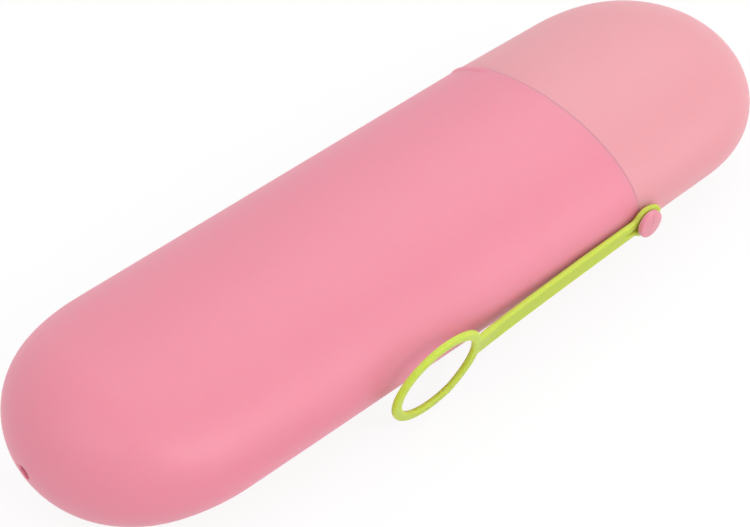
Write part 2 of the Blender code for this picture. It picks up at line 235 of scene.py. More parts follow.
print("the lug stands out", round(lug_height(SEAM_X, MID_Z + LUG_RISE) / MM, 2), "mm")

# %% [markdown]
# ## Drawing one ring into a shell
#
# One oval ring is drawn along the case and resized as it goes, over the rim and back inside, so
# each shell is a single closed wall with no seam to mend. create_circle makes the first ring. Each
# later ring is extruded from the last one, then every point of it is set from the angle it has
# round the ring, which a float layer carries along. Where a ring would pass below the table, it is
# flat: that is the small flat the case rests on.

# %% Draw the rings
CASE_SIDES = 256


def place_ring(ring, angle, x, half_width, half_thickness, lug=False):
    """Give a ring its size and place."""
    for vert in ring:
        across = math.cos(vert[angle])
        up = math.sin(vert[angle])
        place = Vector((x, across * half_width, MID_Z + up * half_thickness))
        if lug and across > 0.0:
            outward = Vector((0.0, across / half_width, up / half_thickness)).normalized()
            place += outward * lug_height(x, place.z)
        place.z = max(place.z, 0.0)
        vert.co = place


def close_tip(bm, ring, x):
    """Close the end of a shell with a fan of faces round its tip."""
    edges = {edge for vert in ring for edge in vert.link_edges if edge.is_boundary}
    faces = bmesh.ops.edgeloop_fill(bm, edges=list(edges))["faces"]
    centre = bmesh.ops.poke(bm, faces=faces)["verts"][0]
    centre.co = Vector((x, 0.0, MID_Z))


def draw_shell(rings, outer_tip, inner_tip):
    """Extrude one ring from the outer tip over the rim to the inner tip."""
    bm = bmesh.new()
    angle = bm.verts.layers.float.new("angle")
    first = bmesh.ops.create_circle(bm, segments=CASE_SIDES, radius=1.0)["verts"]
    for vert in first:
        vert[angle] = math.atan2(vert.co.y, vert.co.x)
    place_ring(first, angle, *rings[0])
    edges = list(bm.edges)
    last = first
    for ring in rings[1:]:
        made = bmesh.ops.extrude_edge_only(bm, edges=edges)["geom"]
        last = [item for item in made if isinstance(item, bmesh.types.BMVert)]
        edges = [item for item in made if isinstance(item, bmesh.types.BMEdge)]
        edges = [edge for edge in edges if edge.is_boundary]
        place_ring(last, angle, *ring)
    close_tip(bm, first, outer_tip)
    close_tip(bm, last, inner_tip)
    return bm


# %% [markdown]
# ## Where the rings go
#
# The rings crowd together near a tip, where the skin curves most, and stand wide apart along the
# straight middle. At the rim they roll over a small radius, as a moulded edge does. The solids keep
# 0.3 mm between the two rims, which is more than the hairline of the real seam, so the seam is
# drawn finer here.

# %% Distances of the rings
END_RINGS = 64
INNER_END_RINGS = 24
STRAIGHT_STEP = 6.0 * MM
SEAM_SHOWN = 0.03 * MM
RIM_RADIUS = 0.1 * MM
RIM_RINGS = 4


def end_distances(rounding, inset, count):
    """Distances from the tip, closer together where the end curves most."""
    span = rounding - inset
    steps = range(1, count + 1)
    return [inset + span * (1.0 - math.cos(math.pi / 2 * step / count)) for step in steps]


def spread(first, last, step):
    """Places from one distance to another, about one step apart, the first left out."""
    count = max(round(abs(last - first) / step), 1)
    return [first + (last - first) * number / count for number in range(1, count + 1)]


def rim_round(distance):
    """Rings that roll the skin over the rim: distance along, and how deep under the skin."""
    angles = [math.pi / 2 * step / RIM_RINGS for step in range(1, RIM_RINGS + 1)]
    start = distance - RIM_RADIUS
    return [
        (start + RIM_RADIUS * math.sin(turn), RIM_RADIUS * (1.0 - math.cos(turn)))
        for turn in angles
    ]


# %% [markdown]
# ## The body
#
# The body is the long shell. Past its rim it steps in and goes on as a neck, which the cap slides
# over. A shallow bead runs round the neck, and the cap snaps past it. The neck can only be seen
# with the cap off, but it is there in every pose.

# %% Rings of the neck
NECK_REACH = 13.0 * MM
NECK_WALL = 1.3 * MM
NECK_CLEARANCE = 0.5 * MM
NECK_ROOT = 5.0 * MM
NECK_LEAD_IN = 0.6 * MM
LEAD_DROP_SHARE = 0.5
NECK_EDGE = 0.25 * MM
BEAD_HEIGHT = 0.2 * MM
BEAD_WIDTH = 1.6 * MM
BEAD_SETBACK = 4.0 * MM
BEAD_RINGS = 12


def neck_ring(along, raise_by):
    """A ring of the neck, which follows the inside of the cap at a distance past the seam."""
    half_width, half_thickness = half_sizes(CAP_LENGTH - max(along, 0.0), CAP_WALL, CAP_SHAPE)
    grow = raise_by - NECK_CLEARANCE
    return SEAM_X + along, half_width + grow, half_thickness + grow


def neck_rings():
    """The neck, from its root at the rim over its end and back inside."""
    bead_end = NECK_REACH - BEAD_SETBACK
    rings = [neck_ring(-SEAM_SHOWN / 2, 0.0), neck_ring(bead_end - BEAD_WIDTH, 0.0)]
    for step in range(1, BEAD_RINGS + 1):
        turn = math.tau * step / BEAD_RINGS
        along = bead_end - BEAD_WIDTH + BEAD_WIDTH * step / BEAD_RINGS
        rings.append(neck_ring(along, BEAD_HEIGHT * (1.0 - math.cos(turn)) / 2))
    lead_start = NECK_REACH - NECK_LEAD_IN
    for step in range(RIM_RINGS + 1):
        turn = math.pi / 2 * step / RIM_RINGS
        drop = NECK_LEAD_IN * (1.0 - math.cos(turn)) * LEAD_DROP_SHARE
        rings.append(neck_ring(lead_start + NECK_LEAD_IN * math.sin(turn), -drop))
    for step in range(RIM_RINGS + 1):
        turn = math.pi / 2 * step / RIM_RINGS
        back = NECK_EDGE * (1.0 - math.cos(turn))
        drop = NECK_WALL - NECK_EDGE + NECK_EDGE * math.sin(turn)
        rings.append(neck_ring(NECK_REACH - back, -drop))
    rings.append(neck_ring(-NECK_ROOT, -NECK_WALL))
    return rings


print("the neck has", len(neck_rings()), "rings")

# %% Rings of the body
NECK_ROOT_TAPER = 4.0 * MM
LUG_RINGS = 14


def body_rings():
    """All rings of the body: outside, rim, neck and inside."""
    rim = BODY_LENGTH - SEAM_SHOWN / 2
    lug_start = BODY_LENGTH - SEAM_GAP / 2 - LUG_LENGTH
    stops = end_distances(BODY_PLAN_ROUNDING, 0.0, END_RINGS)
    stops += spread(BODY_PLAN_ROUNDING, lug_start, STRAIGHT_STEP)
    stops += spread(lug_start, rim - RIM_RADIUS, LUG_LENGTH / LUG_RINGS)
    outside = [(stop, 0.0) for stop in stops] + rim_round(rim)
    rings = [
        (BODY_TIP_X + stop, *half_sizes(stop, inset, BODY_SHAPE), True)
        for stop, inset in outside
    ]
    rings += neck_rings()
    stops = end_distances(BODY_PLAN_ROUNDING, BODY_WALL, INNER_END_RINGS)
    stops += spread(BODY_PLAN_ROUNDING, BODY_LENGTH - NECK_ROOT - NECK_ROOT_TAPER, STRAIGHT_STEP)
    for stop in reversed(stops):
        rings.append((BODY_TIP_X + stop, *half_sizes(stop, BODY_WALL, BODY_SHAPE)))
    return rings


body_mesh = draw_shell(body_rings(), BODY_TIP_X, BODY_TIP_X + BODY_WALL)
case_body = finish_mesh(body_mesh, "case_body")
print("case_body has", len(case_body.data.polygons), "faces before its holes are cut")

# %% [markdown]
# ## The cap
#
# The cap is the short shell, drawn the same way. Its end is a little wider than the body's and,
# seen from the side, tapers over a longer stretch.

# %% Rings of the cap
def cap_rings():
    """All rings of the cap: outside, rim and inside."""
    rim = CAP_LENGTH - SEAM_SHOWN / 2
    stops = end_distances(CAP_PLAN_ROUNDING, 0.0, END_RINGS)
    stops += spread(CAP_PLAN_ROUNDING, rim - RIM_RADIUS, STRAIGHT_STEP)
    outside = [(stop, 0.0) for stop in stops] + rim_round(rim)
    inner = end_distances(CAP_PLAN_ROUNDING, CAP_WALL, INNER_END_RINGS)
    inner += spread(CAP_PLAN_ROUNDING, rim, STRAIGHT_STEP)
    inside = [(stop, CAP_WALL) for stop in reversed(inner)]
    return [
        (CAP_TIP_X - stop, *half_sizes(stop, inset, CAP_SHAPE)) for stop, inset in outside + inside
    ]


case_cap = finish_mesh(draw_shell(cap_rings(), CAP_TIP_X, CAP_TIP_X - CAP_WALL), "case_cap")
print("case_cap has", len(case_cap.data.polygons), "faces before its notch is cut")

# %% [markdown]
# ## The drain hole
#
# A hole in the closed end lets a wet toothbrush dry. Its lip is rounded, so the cutter is not a
# plain rod: it is spun from a profile that flares like a trumpet where it meets the skin.

# %% Shape the drain hole's cutter
DRAIN_DIAMETER = 3.4 * MM
DRAIN_SIDE_OFFSET = 1.8 * MM
DRAIN_DROP = 1.15 * MM
DRAIN_LIP = 0.3 * MM
DRAIN_SKIN_DEPTH = 0.3 * MM
DRAIN_LEAN = math.radians(2.9)
LIP_STEPS = 6
CUT_OVERRUN = 2.0 * MM
HOLE_SIDES = 96


def drain_cutter():
    """A rod that flares where it meets the skin of the body's end."""
    radius = DRAIN_DIAMETER / 2
    profile = [(-CUT_OVERRUN, 0.0), (-CUT_OVERRUN, radius + DRAIN_LIP)]
    for step in range(LIP_STEPS + 1):
        turn = math.pi / 2 * step / LIP_STEPS
        depth = DRAIN_SKIN_DEPTH + DRAIN_LIP * (1.0 - math.cos(turn))
        profile.append((depth, radius + DRAIN_LIP * (1.0 - math.sin(turn))))
    inside = BODY_WALL + CUT_OVERRUN
    profile += [(inside, radius), (inside, 0.0)]
    centre = Vector((BODY_TIP_X, DRAIN_SIDE_OFFSET, MID_Z - DRAIN_DROP))
    along = Matrix.Rotation(-DRAIN_LEAN, 3, "Z") @ Vector((1.0, 0.0, 0.0))
    return turned(profile, centre, along, HOLE_SIDES)


# %% [markdown]
# ## Room for the button's stem
#
# The stem goes through the wall right at the seam, so half of its hole is in the body's rim and
# half is a notch in the cap's. One plain rod cuts both, so they line up.

# %% Cut the holes
STEM_DIAMETER = 2.3 * MM
STEM_CLEARANCE = 0.12 * MM


def stem_cutter():
    """A plain rod through the wall at the near end of the seam."""
    radius = STEM_DIAMETER / 2 + STEM_CLEARANCE
    outside = -SEAM_WIDTH / 2 - CUT_OVERRUN
    inside = -SEAM_WIDTH / 2 + CAP_WALL + NECK_CLEARANCE + NECK_WALL + CUT_OVERRUN
    profile = [(outside, 0.0), (outside, radius), (inside, radius), (inside, 0.0)]
    return turned(profile, Vector((SEAM_X, 0.0, MID_Z)), Vector((0.0, 1.0, 0.0)), HOLE_SIDES)


cut(case_body, drain_cutter(), stem_cutter())
cut(case_cap, stem_cutter())

# %% [markdown]
# ## The button
#
# A low round head on a stem, with a flange inside the case that keeps it from pulling out. All of
# it is one turned profile. The head's edges are rolled over and its face is slightly domed.
# Places along the profile are counted outwards from the middle of the strap's thickness.

# %% Sizes of the button
STRAP_THICKNESS = 1.4 * MM
STRAP_STANDOFF = 0.75 * MM
STRAP_PLAY = 0.6 * MM
STRAP_Y = -(SEAM_WIDTH / 2 + STRAP_STANDOFF + STRAP_THICKNESS / 2)

HEAD_DIAMETER = 6.9 * MM
HEAD_RADIUS = HEAD_DIAMETER / 2
HEAD_RIM = 1.35 * MM
HEAD_DOME = 0.35 * MM
HEAD_BACK = STRAP_THICKNESS / 2 + STRAP_PLAY
HEAD_FACE = HEAD_BACK + HEAD_RIM
DOME_RADIUS = (HEAD_RADIUS ** 2 + HEAD_DOME ** 2) / (2 * HEAD_DOME)

FLANGE_DIAMETER = 4.8 * MM
FLANGE_THICKNESS = 0.9 * MM
FLANGE_CLEARANCE = 0.35 * MM
print("the head's crown is", round((HEAD_FACE + HEAD_DOME) / MM, 2), "mm from the strap's middle")

# %% Outline of the button
HEAD_BACK_EDGE = 0.15 * MM
HEAD_FRONT_EDGE = 0.4 * MM
FRONT_EDGE_SWEEP = 75
EDGE_STEPS = 6
DOME_STEPS = 16


def profile_arc(centre, radius, first, last):
    """Points of an arc in a profile, between two angles in degrees."""
    sweep = last - first
    turns = [math.radians(first + sweep * step / EDGE_STEPS) for step in range(EDGE_STEPS + 1)]
    return [
        (centre[0] + radius * math.sin(turn), centre[1] + radius * math.cos(turn))
        for turn in turns
    ]


def flange_place():
    """Where the flange's face stands, just clear of the neck's curved inner wall."""
    inset = CAP_WALL + NECK_CLEARANCE + NECK_WALL
    half_width, half_thickness = half_sizes(CAP_LENGTH, inset, CAP_SHAPE)
    wall = half_width * math.sqrt(1.0 - (FLANGE_DIAMETER / 2 / half_thickness) ** 2)
    return wall - FLANGE_CLEARANCE + STRAP_Y


def button_profile():
    """The button's half outline: how far out of the case, and its radius there."""
    stem = STEM_DIAMETER / 2
    flange = FLANGE_DIAMETER / 2
    flange_face = flange_place()
    flange_back = flange_face - FLANGE_THICKNESS
    back_centre = (HEAD_BACK + HEAD_BACK_EDGE, HEAD_RADIUS - HEAD_BACK_EDGE)
    front_centre = (HEAD_FACE - HEAD_FRONT_EDGE, HEAD_RADIUS - HEAD_FRONT_EDGE)

    profile = [(flange_back, 0.0), (flange_back, flange), (flange_face, flange)]
    profile += [(flange_face, stem), (HEAD_BACK, stem)]
    profile += profile_arc(back_centre, HEAD_BACK_EDGE, -90, 0)
    profile += profile_arc(front_centre, HEAD_FRONT_EDGE, 0, FRONT_EDGE_SWEEP)
    for step in range(1, DOME_STEPS):
        radius = (HEAD_RADIUS - HEAD_FRONT_EDGE) * (1.0 - step / DOME_STEPS)
        rise = math.sqrt(DOME_RADIUS ** 2 - radius ** 2) - (DOME_RADIUS - HEAD_DOME)
        profile.append((HEAD_FACE + rise, radius))
    profile.append((HEAD_FACE + HEAD_DOME, 0.0))
    return profile


print("the button's profile has", len(button_profile()), "points")

# %% [markdown]
# ## The line on the button
#
# The fine line across the head is the mark of the mould's two halves. It is cut as a shallow V by a
# thin hoop as round as the dome. The line runs a little off the middle and leans, so the hoop is
# shifted and tilted.

# %% Turn the button and cut its line
GROOVE_WIDTH = 0.32 * MM
GROOVE_DEPTH = 0.1 * MM
GROOVE_SHIFT = 0.45 * MM
GROOVE_LEAN = math.radians(11.0)
GROOVE_SIDES = 256
BUTTON_SIDES = 128


def groove_cutter():
    """A thin hoop of diamond section that follows the dome, a little off its middle."""
    crown = STRAP_Y - (HEAD_FACE + HEAD_DOME)
    half_width = GROOVE_WIDTH / 2
    profile = [
        (-half_width, DOME_RADIUS),
        (0.0, DOME_RADIUS + GROOVE_DEPTH),
        (half_width, DOME_RADIUS),
        (0.0, DOME_RADIUS - GROOVE_DEPTH),
        (-half_width, DOME_RADIUS),
    ]
    centre = Vector((SEAM_X - GROOVE_SHIFT, crown + DOME_RADIUS, MID_Z))
    along = Matrix.Rotation(GROOVE_LEAN, 3, "Y") @ Vector((1.0, 0.0, 0.0))
    return turned(profile, centre, along, GROOVE_SIDES)


pin_axis = Vector((0.0, -1.0, 0.0))
pin_centre = Vector((SEAM_X, STRAP_Y, MID_Z))
button = finish_mesh(turned(button_profile(), pin_centre, pin_axis, BUTTON_SIDES), "button")
cut(button, groove_cutter())

# %% [markdown]
# ## The strap, drawn flat
#
# The strap is one soft moulding: a loop round the button's stem, a band, and a flat ring. It could
# be put together from three shapes, but the real ones flow into each other. So the whole strap is
# drawn as one outline with two holes, before it is bent. A point of an outline is (u, v), with u
# along the strap from the stem, and v up across it.

# %% Curves for the outlines
CURVE_STEPS = 24
BAND_STEPS = 60


def curve_between(start, end, shares):
    """A curve that leaves and arrives level."""
    span = end[0] - start[0]
    first = Vector((start[0] + span * shares[0], start[1], 0.0))
    second = Vector((end[0] - span * shares[1], end[1], 0.0))
    ends = (Vector((*start, 0.0)), Vector((*end, 0.0)))
    points = interpolate_bezier(ends[0], first, second, ends[1], CURVE_STEPS + 1)
    return [(point.x, point.y) for point in points]


def arc(centre, size, first, last, steps):
    """Part of an ellipse between two angles, in degrees."""
    turns = [math.radians(first + (last - first) * step / steps) for step in range(steps + 1)]
    return [(centre[0] + size[0] * math.cos(t), centre[1] + size[1] * math.sin(t)) for t in turns]


def band_edge(start, end, v):
    """Points along one straight edge of the band, ends left out."""
    return [(start + (end - start) * step / BAND_STEPS, v) for step in range(1, BAND_STEPS)]


# %% [markdown]
# ## The strap's outline
#
# The band is not quite even. Its upper edge runs a little lower next to the loop, and rises where
# it grows into the ring. The loop is half an oval, taller below than above, and joins the band in
# two soft shoulders.

# %% Outline of ring, band and loop
STRAP_REACH = 67.8 * MM
RING_OUTER_DIAMETER = 25.7 * MM
RING_DROP = 0.35 * MM
RING_STEPS = 160
BAND_ABOVE = 1.95 * MM
BAND_NECK_ABOVE = 1.6 * MM
BAND_TAPER_LENGTH = 16.0 * MM
BAND_BELOW = 2.7 * MM
BAND_FLARE = 1.2 * MM
BAND_FLARE_LENGTH = 8.0 * MM
LOOP_END_LENGTH = 5.2 * MM
LOOP_ABOVE = 3.25 * MM
LOOP_BELOW = 4.5 * MM
LOOP_CENTRE = 0.2 * MM
LOOP_SHOULDER = 4.0 * MM
SHOULDER_SHARES = (0.55, 0.4)


def neck_drop(u):
    """How much lower the band's upper edge runs near the loop."""
    share = clamped((u - LOOP_SHOULDER) / BAND_TAPER_LENGTH)
    return (BAND_ABOVE - BAND_NECK_ABOVE) * (1.0 - share)


def flare_rise(u, ring_start):
    """How much higher the band's upper edge runs where it grows into the ring."""
    return BAND_FLARE * smooth_step(1.0 - (ring_start - u) / BAND_FLARE_LENGTH)


def strap_outline():
    """Round the ring, along the lower edge, round the loop and back along the top."""
    outer = RING_OUTER_DIAMETER / 2
    ring = (STRAP_REACH, -RING_DROP)
    rise = BAND_ABOVE + BAND_FLARE + RING_DROP
    fall = BAND_BELOW - RING_DROP
    meets_above = STRAP_REACH - math.sqrt(outer ** 2 - rise ** 2)
    meets_below = STRAP_REACH - math.sqrt(outer ** 2 - fall ** 2)
    first = 180 - math.degrees(math.asin(rise / outer))
    last = math.degrees(math.asin(fall / outer)) - 180
    end = (-LOOP_CENTRE, 0.0)

    points = arc(ring, (outer, outer), first, last, RING_STEPS)
    points += band_edge(meets_below, LOOP_SHOULDER, -BAND_BELOW)
    points += curve_between(
        (LOOP_SHOULDER, -BAND_BELOW), (-LOOP_CENTRE, -LOOP_BELOW), SHOULDER_SHARES[::-1]
    )
    points += arc(end, (LOOP_END_LENGTH, LOOP_BELOW), -90, -180, CURVE_STEPS)[1:]
    points += arc(end, (LOOP_END_LENGTH, LOOP_ABOVE), 180, 90, CURVE_STEPS)[1:]
    points += curve_between(
        (-LOOP_CENTRE, LOOP_ABOVE), (LOOP_SHOULDER, BAND_NECK_ABOVE), SHOULDER_SHARES
    )[1:]
    upper = band_edge(LOOP_SHOULDER, meets_above, BAND_ABOVE)
    points += [(u, v - neck_drop(u) + flare_rise(u, meets_above)) for u, v in upper]
    return points


print("the strap's outline has", len(strap_outline()), "points")

# %% [markdown]
# ## The strap's two holes
#
# The ring's hole is a plain circle. The eye round the stem is an oval that narrows into a slit,
# because the loop has to stretch over the button's head.

# %% Outlines of the eye and the ring's hole
EYE_END_LENGTH = 2.2 * MM
EYE_HALF_HEIGHT = 1.475 * MM
EYE_DROP = 0.125 * MM
SLIT_REACH = 6.0 * MM
SLIT_HALF_HEIGHT = 0.13 * MM
SLIT_DROP = 0.78 * MM
EYE_TOP_SHARES = (0.33, 1.0)
EYE_BOTTOM_SHARES = (0.6, 0.3)
RING_HOLE_DIAMETER = 20.9 * MM


def eye_outline():
    """The hole round the button's stem, drawn out into a slit."""
    top = (0.0, EYE_HALF_HEIGHT - EYE_DROP)
    bottom = (0.0, -EYE_HALF_HEIGHT - EYE_DROP)
    slit_top = (SLIT_REACH, SLIT_HALF_HEIGHT - SLIT_DROP)
    slit_bottom = (SLIT_REACH, -SLIT_HALF_HEIGHT - SLIT_DROP)
    points = arc((0.0, -EYE_DROP), (EYE_END_LENGTH, EYE_HALF_HEIGHT), 90, 270, 2 * CURVE_STEPS)
    points += curve_between(bottom, slit_bottom, EYE_BOTTOM_SHARES)[1:]
    points += curve_between(top, slit_top, EYE_TOP_SHARES)[:0:-1]
    return points


def ring_hole_outline():
    """The ring's hole."""
    hole = RING_HOLE_DIAMETER / 2
    return arc((STRAP_REACH, -RING_DROP), (hole, hole), 0, 360, RING_STEPS)[:-1]


print("the eye has", len(eye_outline()), "points, the ring", len(ring_hole_outline()))

# %% [markdown]
# ## Thickness and soft edges
#
# The outline is filled and extruded to a thin core. The core's two faces are then inset again and
# again along a quarter circle, which rolls their edges over. A fine voxel remesh turns the long
# thin triangles into even quads and blends the corners where band and ring meet, as a mould would.

# %% Thicken the outline and roll its edges
STRAP_EDGE = 0.55 * MM
STRAP_EDGE_STEPS = 5


def add_outline(bm, points, w):
    """One closed run of edges at a height."""
    verts = [bm.verts.new((u, v, w)) for u, v in points]
    return [bm.edges.new(pair) for pair in zip(verts, verts[1:] + verts[:1])]


def roll_edges(bm, faces):
    """Inset a face again and again along a quarter circle."""
    turns = [math.pi / 2 * step / STRAP_EDGE_STEPS for step in range(STRAP_EDGE_STEPS + 1)]
    for turn, after in zip(turns, turns[1:]):
        bmesh.ops.inset_region(
            bm,
            faces=faces,
            thickness=STRAP_EDGE * (math.cos(turn) - math.cos(after)),
            depth=STRAP_EDGE * (math.sin(after) - math.sin(turn)),
            use_even_offset=True,
        )


def flat_strap():
    """The strap before it is bent, lying in one plane."""
    bm = bmesh.new()
    core = STRAP_THICKNESS - 2 * STRAP_EDGE
    edges = []
    for points in (strap_outline(), eye_outline(), ring_hole_outline()):
        edges += add_outline(bm, points, -core / 2)
    bmesh.ops.triangle_fill(bm, edges=edges, use_beauty=True, normal=(0.0, 0.0, 1.0))
    front = bmesh.ops.extrude_face_region(bm, geom=list(bm.faces))["geom"]
    front_faces = [item for item in front if isinstance(item, bmesh.types.BMFace)]
    front_verts = [item for item in front if isinstance(item, bmesh.types.BMVert)]
    bmesh.ops.translate(bm, vec=(0.0, 0.0, core), verts=front_verts)
    bmesh.ops.recalc_face_normals(bm, faces=bm.faces)
    back_faces = [face for face in bm.faces if all(vert.co.z < 0.0 for vert in face.verts)]
    roll_edges(bm, front_faces)
    roll_edges(bm, back_faces)
    return bm


# %% Remesh the strap
STRAP_VOXEL = 0.13 * MM
RELAX_FACTOR = 0.5
RELAX_ROUNDS = 5

strap = finish_mesh(flat_strap(), "strap")
remesh = strap.modifiers.new("even_quads", "REMESH")
remesh.mode = "VOXEL"
remesh.voxel_size = STRAP_VOXEL
remesh.adaptivity = 0.0
relax = strap.modifiers.new("relax", "SMOOTH")
relax.factor = RELAX_FACTOR
relax.iterations = RELAX_ROUNDS
settle(strap)

# %% [markdown]
# ## Bending the strap
#
# From the button the band runs straight along the case and sags slightly under its own weight.
# Near its end it bows out and twists, so that the ring leans as the case's rounded side does and
# stays just clear of it, also when the strap swings round. A Simple Deform modifier bends about one
# axis only, so each point is given its place by a formula instead.

# %% Bend the strap to its hanging shape
STRAP_SAG = 1.75 * MM
BOW_END = 62.0 * MM
BOW_POWER = 3
BOW_SHARE = 0.7
TWIST_START = 46.0 * MM
TWIST_END = 58.0 * MM
RING_LEAN = math.radians(12.9)
RING_SIDE_CLEARANCE = 0.4 * MM


def ring_plane_y():
    """Where the middle of the ring stands, so that its leaning edge clears the case."""
    half_width, _ = half_sizes(BODY_LENGTH - STRAP_REACH, 0.0, BODY_SHAPE)
    lean = RING_OUTER_DIAMETER / 2 * math.sin(RING_LEAN)
    half_thickness = STRAP_THICKNESS / 2 * math.cos(RING_LEAN)
    return -(half_width + RING_SIDE_CLEARANCE + lean + half_thickness)


def strap_place(u, v, w):
    """Where a point of the flat strap goes: u along, v up and w out of its face."""
    twist = smooth_step((u - TWIST_START) / (TWIST_END - TWIST_START))
    bow = clamped(u / BOW_END) ** BOW_POWER
    y = (ring_plane_y() - STRAP_Y) * (BOW_SHARE * bow + (1.0 - BOW_SHARE) * twist)
    along = clamped(u / STRAP_REACH)
    z = -STRAP_SAG * (1.0 - (1.0 - along) ** 2)
    lean = RING_LEAN * twist
    up = Vector((0.0, -math.sin(lean), math.cos(lean)))
    out = Vector((0.0, -math.cos(lean), -math.sin(lean)))
    return pin_centre + Vector((-u, y, z)) + up * v + out * w


for vert in strap.data.vertices:
    vert.co = strap_place(*vert.co)
strap.data.flip_normals()
print("strap runs from x =", round(min(v.co.x for v in strap.data.vertices) / MM, 1), "mm")

# %% [markdown]
# ## The finish of moulded plastic
#
# All four pieces are moulded, so they share one surface effect: a slow drift of tone through the
# material, a fine grain from the tool, and a gloss that wanders a little. It is a node group, built
# once. Each material gives it its own colours and keeps its own shader.

# %% The shared moulded surface
DRIFT_SCALE = 30.0
DRIFT_DETAIL = 3.0
GRAIN_SCALE = 2500.0
GRAIN_DETAIL = 2.0
GRAIN_DEPTH = 0.15
GRAIN_DISTANCE = 0.02 * MM


def add_input(group, name, kind, value=None):
    """One named input of a node group, with a value where every material uses the same."""
    socket = group.interface.new_socket(name, in_out="INPUT", socket_type=kind)
    if value is not None:
        socket.default_value = value


def moulded_surface():
    """Colour, roughness and normal of a moulded surface, over Object coordinates."""
    group = bpy.data.node_groups.new("moulded_surface", "ShaderNodeTree")
    add_input(group, "Colour", "NodeSocketColor")
    add_input(group, "Deep Colour", "NodeSocketColor")
    add_input(group, "Smoothest", "NodeSocketFloat")
    add_input(group, "Roughest", "NodeSocketFloat")
    add_input(group, "Drift Scale", "NodeSocketFloat", DRIFT_SCALE)
    add_input(group, "Grain Scale", "NodeSocketFloat", GRAIN_SCALE)
    add_input(group, "Grain Depth", "NodeSocketFloat", GRAIN_DEPTH)
    group.interface.new_socket("Colour", in_out="OUTPUT", socket_type="NodeSocketColor")
    group.interface.new_socket("Roughness", in_out="OUTPUT", socket_type="NodeSocketFloat")
    group.interface.new_socket("Normal", in_out="OUTPUT", socket_type="NodeSocketVector")

    nodes, links = group.nodes, group.links
    given = nodes.new("NodeGroupInput")
    result = nodes.new("NodeGroupOutput")
    place = nodes.new("ShaderNodeTexCoord")

    drift = nodes.new("ShaderNodeTexNoise")
    drift.inputs["Detail"].default_value = DRIFT_DETAIL
    links.new(place.outputs["Object"], drift.inputs["Vector"])
    links.new(given.outputs["Drift Scale"], drift.inputs["Scale"])

    tone = nodes.new("ShaderNodeMix")
    tone.data_type = "RGBA"
    links.new(drift.outputs["Fac"], tone.inputs["Factor"])
    links.new(given.outputs["Deep Colour"], tone.inputs["A"])
    links.new(given.outputs["Colour"], tone.inputs["B"])
    links.new(tone.outputs["Result"], result.inputs["Colour"])

    gloss = nodes.new("ShaderNodeMapRange")
    links.new(drift.outputs["Fac"], gloss.inputs["Value"])
    links.new(given.outputs["Smoothest"], gloss.inputs["To Min"])
    links.new(given.outputs["Roughest"], gloss.inputs["To Max"])
    links.new(gloss.outputs["Result"], result.inputs["Roughness"])

    grain = nodes.new("ShaderNodeTexNoise")
    grain.inputs["Detail"].default_value = GRAIN_DETAIL
    links.new(place.outputs["Object"], grain.inputs["Vector"])
    links.new(given.outputs["Grain Scale"], grain.inputs["Scale"])
    bump = nodes.new("ShaderNodeBump")
    bump.inputs["Distance"].default_value = GRAIN_DISTANCE
    links.new(given.outputs["Grain Depth"], bump.inputs["Strength"])
    links.new(grain.outputs["Fac"], bump.inputs["Height"])
    links.new(bump.outputs["Normal"], result.inputs["Normal"])
    return group


moulded = moulded_surface()
print("moulded_surface has", len(moulded.nodes), "nodes")

# %% [markdown]
# ## One material for each piece
#
# Colours are given as they look on a screen, from 0 to 255, and turned into the linear values that
# a shader works with. A little light enters each skin and comes out again close by, which takes the
# edge off the shading. It goes deepest in the soft strap. The button is the glossiest piece.

# %% Materials
SPECULAR_LEVEL = 0.5


def linear(*screen):
    """A colour from screen values, 0 to 255, as a shader's linear colour, by the sRGB curve."""
    shares = [value / 255 for value in screen]
    bent = [((s + 0.055) / 1.055) ** 2.4 if s > 0.04045 else s / 12.92 for s in shares]
    return (*bent, 1.0)


def moulded_material(name, colour, deep_colour, roughness, softness, light_depth):
    """A moulded plastic or rubber of one colour, which lets a little light into its skin."""
    material = bpy.data.materials.new(name)
    material.use_nodes = True
    nodes, links = material.node_tree.nodes, material.node_tree.links
    shader = nodes["Principled BSDF"]
    surface = nodes.new("ShaderNodeGroup")
    surface.node_tree = moulded
    surface.inputs["Colour"].default_value = colour
    surface.inputs["Deep Colour"].default_value = deep_colour
    surface.inputs["Smoothest"].default_value = roughness[0]
    surface.inputs["Roughest"].default_value = roughness[1]
    links.new(surface.outputs["Colour"], shader.inputs["Base Color"])
    links.new(surface.outputs["Roughness"], shader.inputs["Roughness"])
    links.new(surface.outputs["Normal"], shader.inputs["Normal"])
    shader.inputs["Specular IOR Level"].default_value = SPECULAR_LEVEL
    shader.inputs["Subsurface Weight"].default_value = softness
    shader.inputs["Subsurface Radius"].default_value = colour[:3]
    shader.inputs["Subsurface Scale"].default_value = light_depth
    print(name, "has a roughness of", roughness[0], "to", roughness[1])
    return material


body_pink = moulded_material(
    "body_pink",
    colour=linear(226, 138, 157),
    deep_colour=linear(223, 134, 153),
    roughness=(0.40, 0.46),
    softness=0.6,
    light_depth=3.0 * MM,
)
cap_pink = moulded_material(
    "cap_pink",
    colour=linear(223, 153, 161),
    deep_colour=linear(220, 149, 157),
    roughness=(0.40, 0.46),
    softness=0.6,
    light_depth=3.0 * MM,
)
button_pink = moulded_material(
    "button_pink",
    colour=linear(218, 140, 155),
    deep_colour=linear(215, 136, 151),
    roughness=(0.22, 0.27),
    softness=0.35,
    light_depth=3.0 * MM,
)
strap_lime = moulded_material(
    "strap_lime",
    colour=linear(182, 199, 73),
    deep_colour=linear(179, 196, 70),
    roughness=(0.42, 0.50),
    softness=1.0,
    light_depth=6.0 * MM,
)
